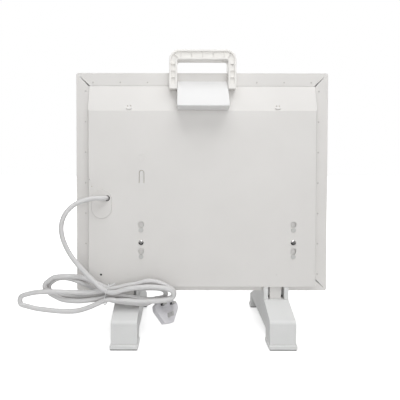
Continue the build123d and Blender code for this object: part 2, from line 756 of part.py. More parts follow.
def film_leads():
    """Two leads from the terminal block round the board's edge to the heating film."""
    made = []
    film_y = front_y + sheet + 1.6
    start = terminal_x - terminal_wide / 2
    y, edge_y = rim_y + wire_depth, rim_y - 4.5
    for i, way in enumerate((-1, 1)):
        pole = terminal_z + terminal_pitch * way
        x, low = start - 12 - 8 * i, inlet_z - 26 - 12 * i
        points = [(start, y, pole), (x, y, pole), (x, edge_y, low), (board_half + edge_room, edge_y, low),
                  (board_half + edge_room, film_y, low), (board_half, film_y, low)]
        made.append(tube_along(points, film_lead, 3))
    return made


def control_harness():
    """The bundle from the terminal block up to the control board."""
    y = rim_y + wire_depth
    top = terminal_z + terminal_tall / 2
    up = slope_plane(harness_x, harness_z)
    inner = up.origin - up.z_dir * 7
    outer = up.origin + up.z_dir * board_lift
    points = [(terminal_x, y, top), (terminal_x, y, top + 30), (harness_x + 20, y, harness_z - 63),
              (harness_x, inner.Y - 3, harness_z - 16), tuple(inner), tuple(outer)]
    return tube_along(points, 5.0, 5)


def room_sensor():
    """A thermistor in a clip, just behind the small hole near the cover's corner."""
    bead = round_y(sensor_x, sensor_z, 4.6, (10, cover_rise - sheet - 0.6))
    clip = block((sensor_x - 6, sensor_x + 6), (board_back, 10), (sensor_z - 5, sensor_z + 5))
    return bead + clip


def tilt_switch():
    body = block((-14, 14), (board_back, 4), (panel_base + 34, panel_base + 62))
    return body + round_y(0, panel_base + 48, 18, (4, 9))


def thermal_cutouts():
    made = []
    for x in strap_places:
        z = cutout_z
        base = board_back + strap_thick
        disc = round_y(x, z, 17, (base, base + 5))
        made.append(disc + block((x - 11, x + 11), (base, base + 1.2), (z - 4, z + 4))
                    + round_y(x, z, 9, (base + 5, base + 8)))
    return made


def earth_stud():
    x, z = 250.0, 210.0
    stud = round_y(x, z, 4, (2, cover_rise - sheet))
    nut = extrude(Plane(origin=(x, rim_y + 6, z), z_dir=(0, 1, 0)) * RegularPolygon(3.9, 6), amount=3)
    return stud + nut


# ---- power switch in the panel's edge ----


def power_switch_body():
    body = block((half_panel - 21, half_panel - sheet),
                 (switch_depth - switch_wide / 2 - 0.6, switch_depth + switch_wide / 2 + 0.6),
                 (switch_z - switch_tall / 2 - 1.5, switch_z + switch_tall / 2 + 1.5))
    body += block((half_panel - sheet, half_panel - 0.1),
                  (switch_depth - switch_wide / 2 + 0.1, switch_depth + switch_wide / 2 - 0.1),
                  (switch_z - switch_tall / 2 + 0.1, switch_z + switch_tall / 2 - 0.1))
    body -= block((half_panel - 14, half_panel + 1), (switch_depth - 5.6, switch_depth + 5.6),
                  (switch_z - 9.2, switch_z + 9.2))
    body -= Pos(rocker_pivot, rim_y + switch_depth, switch_z) * Rot(90, 0, 0) * Cylinder(1.55, 13.4)
    return body


def power_switch_rocker():
    """A V-faced rocker on two trunnions, at rest in its off position."""
    crown, dip, half = 5.6, 4.5, 8.0
    outline = Polyline((crown, 0, half), (dip, 0, 0), (crown, 0, -half), (-1.8, 0, -half + 0.5), (-1.8, 0,
                                                                                                  half - 0.5),
                       close=True)
    rocker = extrude(make_face(outline), amount=10.4, dir=(0, 1, 0))
    rocker = Pos(0, -5.2, 0) * rocker + Rot(90, 0, 0) * Cylinder(1.5, 13.2)
    return Pos(rocker_pivot, rim_y + switch_depth, switch_z) * Rot(0, rocker_rest, 0) * rocker


# ---- cord ----
def layer(n):
    """Depth of a layer of the hank, 0 nearest to the cover and 3 furthest from it."""
    return layer_front - layer_step * (3 - n)


# Lead route as (X, height, depth): straight out of the plate, over the panel's edge, down to the hank.
lead_route = [
    (inlet_x, inlet_z, cord_inner_end), (inlet_x, inlet_z, 30), (251, 329, 39), (285, 321, 49.5),
    (310, 301, 57), (322, 270, 60), (318, 239, 60), (305, 210, 60), (289.5, 187, 60), (272.5, 168.5, 60),
    (258, 152.5, 60), (243.6, 140, layer_front)]

# The hank's turns, front one first. Each station is X, height, the way that the cord heads there in
# degrees (0 is +X, 90 is up), and its layer. Every turn goes round the loop under the panel's middle
# first, then round the loop beyond the panel's side, and climbs one layer along the end of that.
hank_turns = [
    [(205.0, 117.2, 180, 3), (169.9, 125.3, 170, 3), (119.9, 130.2, 180, 3), (82.5, 126.4, 194, 3),
     (66.3, 113.4, 270, 3), (82.5, 100.6, 353, 3), (142.6, 96.8, 0, 3), (185.8, 99.0, 356, 3),
     (217.6, 100.5, 346, 3), (247.1, 87.9, 336, 3), (297.1, 74.3, 358, 3), (342.6, 76.2, 7, 3),
     (388.0, 83.3, 15, 3), (413.8, 99.0, 90, 3), (387.8, 115.5, 168, 3), (337.8, 118.8, 180, 3),
     (272.1, 112.9, 181, 2), (233.1, 116.2, 173, 2)],
    [(203.3, 122.0, 171, 2), (164.3, 130.7, 173, 2), (118.4, 139.5, 180, 2), (82.8, 128.1, 209, 2),
     (65.4, 111.7, 266, 2), (81.7, 98.5, 350, 2), (123.0, 96.1, 4, 2), (175.8, 105.2, 8, 2),
     (214.8, 105.1, 352, 2), (249.2, 96.8, 354, 2), (290.6, 93.4, 2, 2), (330.7, 101.0, 27, 2),
     (350.2, 112.5, 46, 2), (361.1, 128.2, 95, 2), (348.9, 142.5, 138, 2), (317.9, 150.5, 178, 2),
     (265.2, 139.7, 200, 1), (239.7, 128.1, 206, 1)],
    [(200.3, 115.1, 176, 1), (163.2, 118.9, 176, 1), (126.1, 119.9, 180, 1), (100.6, 119.1, 186, 1),
     (85.0, 106.9, 270, 1), (101.7, 94.7, 352, 1), (137.7, 94.0, 6, 1), (186.4, 102.1, 8, 1),
     (223.5, 102.9, 356, 1), (265.3, 99.1, 356, 1), (302.4, 100.4, 8, 1), (337.2, 105.5, 26, 1),
     (355.9, 121.4, 90, 1), (340.5, 138.9, 148, 1), (316.2, 142.7, 184, 1), (288.4, 135.5, 202, 1),
     (255.8, 115.3, 214, 0)],
]
hank_end = (232.4, 99.3, 217)           # X, height and heading where the tail begins, on layer 0


def hank_stations():
    """Stations of the hank's centre line, each with the way that the cord is heading."""
    end, before = [Vector(x, rim_y + depth, z) for x, z, depth in (lead_route[-1], lead_route[-2])]
    heading = (end - before).normalized()
    stations = [(end, heading), (end + heading * cord_dia, heading)]
    places = [station for turn in hank_turns for station in turn] + [(*hank_end, 0)]
    for x, z, way, level in places:
        stations.append((Vector(x, rim_y + layer(level), z), Vector(cos(radians(way)), 0, sin(radians(way)))))
    return stations


def biarc(p0, t0, p1, t1):
    """Two arcs, tangent to each other, from one station to the next."""
    v = p1 - p0
    square = 2 * (t0.dot(t1) - 1)
    across = v.dot(t0 + t1)
    if (t0 - t1).length < 1e-6 and v.cross(t0).length < 1e-6:
        return [Line(p0, p1)]
    if abs(square) < 1e-9:
        reach = v.dot(v) / (2 * across)
    else:
        reach = (across - sqrt(across * across - square * v.dot(v))) / square
    q0, q1 = p0 + t0 * reach, p1 - t1 * reach
    join = (q0 + q1) * 0.5
    return [TangentArc(p0, join, tangent=t0), TangentArc(join, p1, tangent=(q1 - join).normalized())]


def hank_edges():
    edges = []
    stations = hank_stations()
    for (p0, t0), (p1, t1) in zip(stations, stations[1:]):
        edges += biarc(p0, t0, p1, t1)
    return edges


def print_gap(edges):
    """Least gap between turns of the hank, measured on points."""
    points, along, travelled = [], [], 0.0
    for edge in edges:
        count = max(2, int(edge.length / 3))
        for i in range(count):
            points.append(edge @ (i / count))
            along.append(travelled + edge.length * i / count)
        travelled += edge.length
    least = 1e9
    for i, a in enumerate(points):
        for j in range(i + 1, len(points)):
            if along[j] - along[i] > 5 * cord_dia:
                least = min(least, (a - points[j]).length)
    print(f"hank: {travelled:.0f} mm long, least gap between turns {least - cord_dia:.2f} mm")
    radii = [edge.radius for edge in edges if edge.geom_type == GeomType.CIRCLE]
    print(f"hank: tightest arc {min(radii):.1f} mm")


def cord_hank():
    edges = hank_edges()
    print_gap(edges)
    path = Wire(edges)
    start = Plane(origin=path @ 0, z_dir=path % 0)
    return sweep(start * Circle(cord_dia / 2), path=path)


def route_path(route):
    """A stretch of free cord: straight runs joined by arcs as large as the runs allow."""
    points = [Vector(x, rim_y + depth, z) for x, z, depth in route]
    runs = [(b - a) for a, b in zip(points, points[1:])]
    radii = []
    for first, second in zip(runs, runs[1:]):
        turn = first.get_angle(second)
        radii.append(0.45 * min(first.length, second.length) / tan(turn * pi / 360))
    return FilletPolyline(*points, radius=radii)


def route_tube(name, route):
    path = route_path(route)
    start = Plane(origin=path @ 0, z_dir=path % 0)
    tube = sweep(start * Circle(cord_dia / 2), path=path)
    ideal = path.length * pi * cord_dia ** 2 / 4
    print(f"{name}: {path.length:.0f} mm long, volume {tube.volume / ideal:.4f} of section times length")
    return tube


def twist_tie():
    """A band round every strand that passes the tie's place."""
    lines = hank_edges() + [route_path(tail_route)]
    boxes = [(line, line.bounding_box()) for line in lines]
    near = [line for line, box in boxes if box.min.X < tie_x + 5 and box.max.X > tie_x - 5]
    points = [line @ (i / 60) for line in near for i in range(61)]
    points = [p for p in points if abs(p.X - tie_x) < 5]
    reach = cord_dia / 2 + tie_gap
    depth = (min(p.Y for p in points) - reach, max(p.Y for p in points) + reach)
    height = (min(p.Z for p in points) - reach, max(p.Z for p in points) + reach)
    wide, tall = depth[1] - depth[0], height[1] - height[0]
    plane = Plane(origin=(tie_x - tie_wide / 2, (depth[0] + depth[1]) / 2, (height[0] + height[1]) / 2),
                  x_dir=(0, 1, 0), z_dir=(1, 0, 0))
    band = RectangleRounded(wide + 2 * tie_thick, tall + 2 * tie_thick,
                            3 + tie_thick) - RectangleRounded(wide, tall, 3)
    return extrude(plane * band, amount=tie_wide)


# ---- plug ----
plug_way = Vector(-0.185, 0.45, -0.873).normalized()       # from the cord towards the earth pin
plug_face = Vector(-0.48, 0.74, 0.48)                       # the way that the pins point
plug_face = (plug_face - plug_way * plug_face.dot(plug_way)).normalized()
plug_plane = Plane(origin=(plug_middle[0], rim_y + plug_middle[2], plug_middle[1]),
                   x_dir=plug_way, z_dir=plug_face)


def plug_block(x, y, z):
    """A box in the plug's own frame: along it, across it, and out of its pin face."""
    middle = ((x[0] + x[1]) / 2, (y[0] + y[1]) / 2, (z[0] + z[1]) / 2)
    return plug_plane * Pos(*middle) * Box(x[1] - x[0], y[1] - y[0], z[1] - z[0])


def pin_box(place, size, z, trim=0.0):
    """A flat pin's bar: place is along and across the plug, size its extents the same way."""
    spans = [(p - extent / 2 + trim, p + extent / 2 - trim) for p, extent in zip(place, size)]
    return plug_block(*spans, z)


def pin_places():
    """Three flat pins: earth in front, live and neutral nearer to the cord."""
    side = pin_spread / 2
    line_size = (pin_thick, pin_wide)
    return [("earth", (pin_line + pin_spread, 0), (earth_wide, earth_thick), earth_reach),
            ("live", (pin_line, -side), line_size, pin_reach),
            ("neutral", (pin_line, side), line_size, pin_reach)]


def plug_body():
    half_long, half_wide, half_thick = plug_long / 2, plug_wide / 2, plug_thick / 2
    cord_half, earth_half = plug_cord_side / 2, plug_earth_side / 2
    edge = [(-half_long, cord_half), (-half_long + 7, half_wide), (-half_long + 19, half_wide), (half_long,
                                                                                                 earth_half)]
    outline = Polyline(*edge, *[(x, -y) for x, y in reversed(edge)], close=True)
    face = fillet(make_face(outline).vertices(), 4)
    body = extrude(plug_plane * Pos(0, 0, -half_thick) * face, amount=plug_thick)
    body = fillet(body.faces().filter_by(lambda f: abs(f.normal_at().dot(plug_face)) > 0.99).edges(), 1.6)
    body -= [pin_box(place, size, (0, half_thick + 1)) for _, place, size, _ in pin_places()]
    return body - plug_block(fuse_slot, (-14, 14), (half_thick - 9, half_thick + 1))


def plug_pins():
    half = plug_thick / 2
    pins = []
    for name, place, size, reach in pin_places():
        pin = pin_box(place, size, (0, half + reach))
        if name != "earth":
            pin -= pin_box(place, size, (half, half + sleeve_long), -1) \
                - pin_box(place, size, (half - 1, half + sleeve_long + 1), sleeve_wall)
        pins.append(pin)
    return pins


def plug_pin_sleeves():
    half = plug_thick / 2
    end = half + sleeve_long
    sleeves = []
    for name, place, size, reach in pin_places():
        if name != "earth":
            bore = pin_box(place, size, (0, end + 1), sleeve_wall)
            sleeves.append(pin_box(place, size, (half, end)) - bore)
    return sleeves


def plug_fuse_bar(dia, length):
    return plug_plane * Pos(fuse_middle, 0, fuse_sunk) * Rot(90, 0, 0) * Cylinder(dia / 2, length)


def plug_fuse_carrier():
    half = plug_thick / 2
    carrier = plug_block((fuse_slot[0] + 0.1, fuse_slot[1] - 0.1), (-13.9, 13.9), (half - 8.9, half + 0.5))
    carrier -= plug_fuse_bar(fuse_dia + 0.3, fuse_long + 0.6)
    return carrier - plug_block(fuse_slot, (-10, 10), (half - 10, fuse_sunk))


def elbow_place(angle):
    """Where the strain relief's line is after an angle of its turn, and the way that it heads."""
    start = plug_plane.origin - plug_way * (plug_long / 2)
    aside = (Vector(1, 0, 0) - plug_way * plug_way.X).normalized()
    turn = radians(angle)
    place = start - plug_way * elbow_radius * sin(turn) + aside * elbow_radius * (1 - cos(turn))
    return place, (aside * sin(turn) - plug_way * cos(turn)).normalized()


def plug_strain_relief():
    """A short moulded elbow, tapering from the plug to the cord."""
    count = 5
    sections = []
    for i in range(count):
        share = i / (count - 1)
        place, heading = elbow_place(elbow_turn * share)
        dia = elbow_wide[0] + (elbow_wide[1] - elbow_wide[0]) * share
        sections.append(Plane(origin=place, x_dir=heading.cross(plug_face), z_dir=heading) * Circle(dia / 2))
    return loft(sections)


plug_cord_end, plug_cord_way = elbow_place(elbow_turn)
before_plug = plug_cord_end + plug_cord_way * 14
tail_start = Vector(hank_end[0], rim_y + layer(0), hank_end[1])
after_hank = tail_start + Vector(cos(radians(hank_end[2])), 0, sin(radians(hank_end[2]))) * 12.5


def route_place(point):
    return (point.X, point.Z, point.Y - rim_y)


tail_route = [
    route_place(tail_start), route_place(after_hank), (209.5, 90.7, 38), (191, 91, 47), (169.5, 89.9, 50.5),
    (149, 86.4, 47), (134.5, 82, 38.5), (122, 82.4, 28.5),
    route_place(before_plug), route_place(plug_cord_end)]


# ---- write every sub-part ----
whole("front_pan", front_pan())
film, foil, insulation = pan_layers()
whole("heating_film", film)
whole("reflector_foil", foil)
whole("insulation_board", insulation)
group("board_retainers", board_retainers())
whole("rear_cover", rear_cover())
group("rim_rivets", rim_rivets())
whole("handle", handle())
group("handle_screws", [screw_in(x, z, 7.5, -2 * sheet, 12) for x, z in handle_screw_places()])
whole("hood_shell", hood_shell())
group("hood_screws", hood_screws())
whole("control_board", control_board())
group("board_parts", board_parts())
whole("control_harness", control_harness())
for side, x in zip(("left", "right"), keyhole_places):
    whole(f"hanger_rail_{side}", hanger_rail(x))
group("rail_studs", rail_studs())
group("lock_screws", lock_screws())
for side, x in foot_places.items():
    whole(f"foot_shell_{side}", foot_shell(x))
    whole(f"foot_bracket_{side}", foot_bracket(x))
    group(f"foot_pads_{side}", foot_pads(x))
    group(f"foot_screws_{side}", [screw_in(x, z, 7.5, tongue_depth, tongue_depth + tongue_thick + 6.5)
                                  for z in tongue_screw_heights])
    whole(f"foot_socket_{side}", foot_socket(x))
whole("cord_cover_plate", cord_cover_plate())
whole("cord_grommet", cord_grommet())
whole("cord_clamp", cord_clamp())
whole("terminal_block", terminal_block())
group("supply_cores", supply_cores())
group("film_leads", film_leads())
whole("room_sensor", room_sensor())
whole("tilt_switch", tilt_switch())
group("thermal_cutouts", thermal_cutouts())
whole("earth_stud", earth_stud())
whole("power_switch_body", power_switch_body())
whole("power_switch_rocker", power_switch_rocker())
whole("cord_lead", route_tube("cord_lead", lead_route))
whole("cord_hank", cord_hank())
whole("cord_tail", route_tube("cord_tail", tail_route))
whole("twist_tie", twist_tie())
whole("plug_body", plug_body())
group("plug_pins", plug_pins())
group("plug_pin_sleeves", plug_pin_sleeves())
whole("plug_fuse_carrier", plug_fuse_carrier())
whole("plug_fuse", plug_fuse_bar(fuse_dia, fuse_long))
whole("plug_strain_relief", plug_strain_relief())
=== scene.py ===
import json
import math

import bpy
from mathutils import Matrix, Vector


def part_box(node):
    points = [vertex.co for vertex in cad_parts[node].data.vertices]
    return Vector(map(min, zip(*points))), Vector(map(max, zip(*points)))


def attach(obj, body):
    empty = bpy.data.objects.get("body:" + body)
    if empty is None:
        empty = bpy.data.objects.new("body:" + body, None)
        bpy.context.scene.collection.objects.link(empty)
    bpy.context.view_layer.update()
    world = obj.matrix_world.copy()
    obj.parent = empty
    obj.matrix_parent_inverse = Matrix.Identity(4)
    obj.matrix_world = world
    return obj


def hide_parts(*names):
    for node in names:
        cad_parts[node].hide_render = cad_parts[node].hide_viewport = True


# Infrared panel heater seen from behind: white enamelled steel, plastic handle and feet, tied mains cord.
# Everything is in metres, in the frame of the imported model.

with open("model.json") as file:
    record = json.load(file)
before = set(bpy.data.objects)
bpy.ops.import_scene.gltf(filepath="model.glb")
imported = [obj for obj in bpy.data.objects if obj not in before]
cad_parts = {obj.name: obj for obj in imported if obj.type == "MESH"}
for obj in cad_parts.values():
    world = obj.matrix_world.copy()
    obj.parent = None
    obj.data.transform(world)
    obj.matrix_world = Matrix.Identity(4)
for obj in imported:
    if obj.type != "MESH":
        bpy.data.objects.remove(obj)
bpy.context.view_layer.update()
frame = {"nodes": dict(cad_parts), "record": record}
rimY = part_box("front_pan")[1].y        # rear face of the panel's rim
print("stage: frame loaded,", len(frame["nodes"]), "nodes")


# how the finishes are made: each takes a name and a dictionary of what to change
edgeLean = (0.90, 0.995)      # cosine of a rounded normal's lean: at an edge given painted shading, and on a flat
noiseSpan = (0.3, 0.7)        # the part of a noise that holds most of its values


def startMaterial(name):
    material = bpy.data.materials.new(name)
    material.use_nodes = True
    tree = material.node_tree
    shader = tree.nodes["Principled BSDF"]
    coords = tree.nodes.new("ShaderNodeTexCoord")
    return material, tree, shader, coords


def addNoise(tree, coords, scale, detail=4.0, rough=0.55, stretch=None):
    noise = tree.nodes.new("ShaderNodeTexNoise")
    noise.inputs["Scale"].default_value = scale
    noise.inputs["Detail"].default_value = detail
    noise.inputs["Roughness"].default_value = rough
    source = coords.outputs["Object"]
    if stretch:
        mapping = tree.nodes.new("ShaderNodeMapping")
        mapping.inputs["Scale"].default_value = stretch
        tree.links.new(source, mapping.inputs["Vector"])
        source = mapping.outputs["Vector"]
    tree.links.new(source, noise.inputs["Vector"])
    return noise.outputs["Fac"]


def blendColours(tree, factor, first, second):
    mix = tree.nodes.new("ShaderNodeMix")
    mix.data_type = "RGBA"
    if isinstance(factor, float):
        mix.inputs["Factor"].default_value = factor
    else:
        tree.links.new(factor, mix.inputs["Factor"])
    for socket, colour in (("A", first), ("B", second)):
        target = [s for s in mix.inputs if s.name == socket and s.type == "RGBA"][0]
        if isinstance(colour, (tuple, list)):
            target.default_value = (*colour, 1.0)
        else:
            tree.links.new(colour, target)
    return [s for s in mix.outputs if s.type == "RGBA"][0]


def spreadValue(tree, value, low, high, outLow, outHigh):
    spread = tree.nodes.new("ShaderNodeMapRange")
    spread.inputs["From Min"].default_value = low
    spread.inputs["From Max"].default_value = high
    spread.inputs["To Min"].default_value = outLow
    spread.inputs["To Max"].default_value = outHigh
    tree.links.new(value, spread.inputs["Value"])
    return spread.outputs["Result"]


def softEdges(tree, radius):
    bevel = tree.nodes.new("ShaderNodeBevel")
    bevel.samples = 4
    bevel.inputs["Radius"].default_value = radius
    return bevel.outputs["Normal"]


def edgeMask(tree, rounded, low, high):
    # how far the rounded normal leans from the true one: 1 on edges, 0 on flats
    geometry = tree.nodes.new("ShaderNodeNewGeometry")
    dot = tree.nodes.new("ShaderNodeVectorMath")
    dot.operation = "DOT_PRODUCT"
    tree.links.new(rounded, dot.inputs[0])
    tree.links.new(geometry.outputs["Normal"], dot.inputs[1])
    return spreadValue(tree, dot.outputs["Value"], high, low, 0.0, 1.0)


# ambient-occlusion mask, 1 deep in hollows and 0 in the open: it places the painted shade in hollows and
# between parts
def crevice(tree, distance, low, high):
    occlusion = tree.nodes.new("ShaderNodeAmbientOcclusion")
    occlusion.samples = 6
    occlusion.inputs["Distance"].default_value = distance
    return spreadValue(tree, occlusion.outputs["AO"], high, low, 0.0, 1.0)


def bumpOn(tree, shader, height, strength, distance, normal=None):
    bump = tree.nodes.new("ShaderNodeBump")
    bump.inputs["Strength"].default_value = strength
    bump.inputs["Distance"].default_value = distance
    tree.links.new(height, bump.inputs["Height"])
    if normal:
        tree.links.new(normal, bump.inputs["Normal"])
    tree.links.new(bump.outputs["Normal"], shader.inputs["Normal"])


powderCoatLook = {
    "colour": (0.79, 0.775, 0.755),
    "patch": (0.76, 0.745, 0.725),
    "edge": (0.84, 0.83, 0.815),
    # painted shade: a darker colour mixed in where the occlusion mask finds hollows and gaps between parts,
    # standing in for their shadow
    "paintedShade": (0.50, 0.47, 0.44),
    "paintedShadeReach": 0.006,
    "paintedShadeShare": 0.35,
    "peelSize": 900.0,
    "patchSize": 7.0,
    "edgeRadius": 0.0012,
    "roughness": (0.38, 0.46),
}


def powderCoat(name, look):
    material, tree, shader, coords = startMaterial(name)
    peel = addNoise(tree, coords, look["peelSize"], 2.0)
    cloud = addNoise(tree, coords, look["patchSize"], 5.0)
    rounded = softEdges(tree, look["edgeRadius"])
    colour = blendColours(tree, spreadValue(tree, cloud, *noiseSpan, 0.0, 1.0), look["colour"], look["patch"])
    # painted highlight: the edge colour, lighter than the body, is mixed in along rounded edges
    colour = blendColours(tree, edgeMask(tree, rounded, *edgeLean), colour, look["edge"])
    # painted shade in hollows and between parts, where shadow falls
    hollowShade = spreadValue(tree, crevice(tree, look["paintedShadeReach"], 0.25, 0.7), 0.0, 1.0, 0.0, look["paintedShadeShare"])
    colour = blendColours(tree, hollowShade, colour, look["paintedShade"])
    tree.links.new(colour, shader.inputs["Base Color"])
    tree.links.new(spreadValue(tree, cloud, *noiseSpan, *look["roughness"]), shader.inputs["Roughness"])
    bumpOn(tree, shader, peel, 0.10, 0.0002, rounded)
    return material


def mouldedPlastic(name, look):
    material, tree, shader, coords = startMaterial(name)
    grain = addNoise(tree, coords, look["grain"], 3.0)
    cloud = addNoise(tree, coords, look.get("patchSize", 18.0), 5.0)
    rounded = softEdges(tree, look.get("edgeRadius", 0.0008))
    colour = blendColours(tree, spreadValue(tree, cloud, *noiseSpan, 0.0, 1.0), look["colour"], look["patch"])
    # painted shading along rounded edges: a lighter edge colour is a painted highlight, a dark one a painted
    # shadow line
    if "edge" in look:
        colour = blendColours(tree, edgeMask(tree, rounded, *edgeLean), colour, look["edge"])
    # painted shade in hollows and between parts, where shadow falls
    if "paintedShade" in look:
        hollowShade = crevice(tree, look.get("paintedShadeReach", 0.004), 0.2, 0.7)
        colour = blendColours(tree, spreadValue(tree, hollowShade, 0.0, 1.0, 0.0, 0.6), colour, look["paintedShade"])
    tree.links.new(colour, shader.inputs["Base Color"])
    tree.links.new(spreadValue(tree, cloud, *noiseSpan, *look["roughness"]), shader.inputs["Roughness"])
    shader.inputs["Specular IOR Level"].default_value = look.get("specular", 0.5)
    bumpOn(tree, shader, grain, look.get("bump", 0.12), look.get("depth", 0.0002), rounded)
    return material


def platedSteel(name, look):
    material, tree, shader, coords = startMaterial(name)
    brushed = addNoise(tree, coords, look["grain"], 3.0, 0.6, look.get("stretch", (1.0, 1.0, 14.0)))
    cloud = addNoise(tree, coords, 60.0, 4.0)
    rounded = softEdges(tree, 0.0004)
    colour = blendColours(tree, spreadValue(tree, cloud, 0.35, 0.65, 0.0, 1.0), look["colour"], look["patch"])
    tree.links.new(colour, shader.inputs["Base Color"])
    tree.links.new(spreadValue(tree, brushed, *noiseSpan, *look["roughness"]), shader.inputs["Roughness"])
    shader.inputs["Metallic"].default_value = look.get("metallic", 1.0)
    bumpOn(tree, shader, brushed, look.get("bump", 0.1), 0.0001, rounded)
    return material


def wovenSleeve(name, look):
    material, tree, shader, coords = startMaterial(name)
    strands = []
    for turn in (0.8, -0.8):
        mapping = tree.nodes.new("ShaderNodeMapping")
        mapping.inputs["Rotation"].default_value = (0.0, turn, 0.3)
        tree.links.new(coords.outputs["Object"], mapping.inputs["Vector"])
        wave = tree.nodes.new("ShaderNodeTexWave")
        wave.inputs["Scale"].default_value = look["strand"]
        wave.inputs["Distortion"].default_value = 0.6
        tree.links.new(mapping.outputs["Vector"], wave.inputs["Vector"])
        strands.append(wave.outputs["Fac"])
    cross = tree.nodes.new("ShaderNodeMath")
    cross.operation = "MAXIMUM"
    tree.links.new(strands[0], cross.inputs[0])
    tree.links.new(strands[1], cross.inputs[1])
    colour = blendColours(tree, cross.outputs["Value"], look["patch"], look["colour"])
    tree.links.new(colour, shader.inputs["Base Color"])
    shader.inputs["Roughness"].default_value = 0.75
    bumpOn(tree, shader, cross.outputs["Value"], 0.5, 0.0004)
    return material


def domedChrome(name, look):
    # a polished dome with a painted reflection: its colour is bright where the normal faces up and dark where
    # it faces down, as a bright room above and a dark floor below would show
    material, tree, shader, coords = startMaterial(name)
    geometry = tree.nodes.new("ShaderNodeNewGeometry")
    split = tree.nodes.new("ShaderNodeSeparateXYZ")
    tree.links.new(geometry.outputs["Normal"], split.inputs[0])
    scratch = addNoise(tree, coords, look["grain"], 3.0)
    # painted reflection: bright colour on the upward-facing part of the dome, dark on the downward-facing part
    upward = spreadValue(tree, split.outputs["Z"], *look["horizon"], 0.0, 1.0)
    tree.links.new(blendColours(tree, upward, look["below"], look["above"]), shader.inputs["Base Color"])
    tree.links.new(spreadValue(tree, scratch, *noiseSpan, *look["roughness"]), shader.inputs["Roughness"])
    shader.inputs["Metallic"].default_value = look["metallic"]
    bumpOn(tree, shader, scratch, 0.03, 0.0001)
    return material


# the record's slot, the kind of finish, and its look
finishes = {
    "body_enamel": (powderCoat, powderCoatLook),
    "handle_plastic": (mouldedPlastic, {
        "colour": (0.92, 0.905, 0.875), "patch": (0.90, 0.885, 0.855), "edge": (0.93, 0.92, 0.90),
        "paintedShade": (0.62, 0.59, 0.55), "paintedShadeReach": 0.003, "grain": 1500.0, "roughness": (0.40, 0.50),
        "edgeRadius": 0.0008}),
    "hood_plastic": (mouldedPlastic, {
        "colour": (0.81, 0.81, 0.81), "patch": (0.79, 0.79, 0.79), "edge": (0.85, 0.85, 0.85),
        "grain": 1100.0, "roughness": (0.28, 0.36), "edgeRadius": 0.0012, "bump": 0.06}),
    "foot_plastic": (mouldedPlastic, {
        "colour": (0.78, 0.785, 0.78), "patch": (0.75, 0.755, 0.75), "edge": (0.86, 0.865, 0.86),
        "paintedShade": (0.38, 0.34, 0.32), "grain": 1300.0, "roughness": (0.42, 0.52), "edgeRadius": 0.0010,
        "paintedShadeReach": 0.008}),
    "cord_sheath": (mouldedPlastic, {
        "colour": (0.71, 0.705, 0.705), "patch": (0.68, 0.675, 0.675), "paintedShade": (0.34, 0.30, 0.29),
        "grain": 700.0, "roughness": (0.33, 0.42), "paintedShadeReach": 0.012, "bump": 0.05}),
    "plug_plastic": (mouldedPlastic, {
        "colour": (0.76, 0.75, 0.78), "patch": (0.72, 0.71, 0.74), "edge": (0.83, 0.82, 0.84),
        "paintedShade": (0.30, 0.26, 0.26), "grain": 1200.0, "roughness": (0.34, 0.44), "edgeRadius": 0.0010}),
    "tie_plastic": (mouldedPlastic, {
        "colour": (0.80, 0.80, 0.80), "patch": (0.76, 0.76, 0.76), "grain": 900.0, "roughness": (0.5, 0.6)}),
    "rocker_plastic": (mouldedPlastic, {
        "colour": (0.72, 0.72, 0.71), "patch": (0.70, 0.70, 0.69), "edge": (0.78, 0.78, 0.77),
        "grain": 1400.0, "roughness": (0.25, 0.32)}),
    "black_plastic": (mouldedPlastic, {
        "colour": (0.020, 0.020, 0.021), "patch": (0.028, 0.027, 0.027), "edge": (0.05, 0.05, 0.05),
        "grain": 1200.0, "roughness": (0.42, 0.55)}),
    "pad_rubber": (mouldedPlastic, {
        "colour": (0.022, 0.021, 0.021), "patch": (0.035, 0.033, 0.032), "grain": 800.0,
        "roughness": (0.7, 0.85), "specular": 0.3, "bump": 0.3}),
    "core_insulation": (mouldedPlastic, {
        "colour": (0.55, 0.47, 0.35), "patch": (0.50, 0.42, 0.31), "grain": 1200.0,
        "roughness": (0.35, 0.45)}),
    "circuit_board": (mouldedPlastic, {
        "colour": (0.02, 0.13, 0.045), "patch": (0.03, 0.17, 0.06), "grain": 420.0, "patchSize": 240.0,
        "roughness": (0.3, 0.42), "bump": 0.25}),
    "heating_film": (mouldedPlastic, {
        "colour": (0.015, 0.015, 0.016), "patch": (0.03, 0.03, 0.032), "grain": 260.0, "patchSize": 35.0,
        "roughness": (0.5, 0.65)}),
    "insulation": (mouldedPlastic, {
        "colour": (0.60, 0.53, 0.34), "patch": (0.48, 0.42, 0.27), "grain": 320.0, "patchSize": 90.0,
        "roughness": (0.85, 0.98), "specular": 0.1, "bump": 0.8, "depth": 0.0006}),
    "wire_sleeve": (wovenSleeve, {
        "colour": (0.46, 0.43, 0.36), "patch": (0.22, 0.20, 0.16), "strand": 320.0}),
    "zinc_steel": (platedSteel, {
        "colour": (0.58, 0.59, 0.60), "patch": (0.50, 0.51, 0.53), "grain": 380.0,
        "roughness": (0.30, 0.42)}),
    "stud_steel": (platedSteel, {
        "colour": (0.60, 0.60, 0.585), "patch": (0.56, 0.56, 0.545), "grain": 500.0,
        "roughness": (0.40, 0.50), "metallic": 0.35}),
    "chrome": (domedChrome, {
        "above": (0.80, 0.79, 0.78), "below": (0.02, 0.02, 0.022), "horizon": (-0.04, 0.12), "grain": 700.0,
        "roughness": (0.14, 0.22), "metallic": 0.8}),
    "foil": (platedSteel, {
        "colour": (0.80, 0.80, 0.82), "patch": (0.72, 0.72, 0.74), "grain": 60.0, "roughness": (0.16, 0.30),
        "stretch": (1.0, 1.0, 1.0), "bump": 0.5}),
    "brass": (platedSteel, {
        "colour": (0.62, 0.47, 0.22), "patch": (0.55, 0.41, 0.19), "grain": 420.0,
        "roughness": (0.25, 0.36)}),
}

finishOf = {}
for slotName, (makeFinish, look) in finishes.items():
    finishOf[slotName] = makeFinish(slotName + "Finish", look)
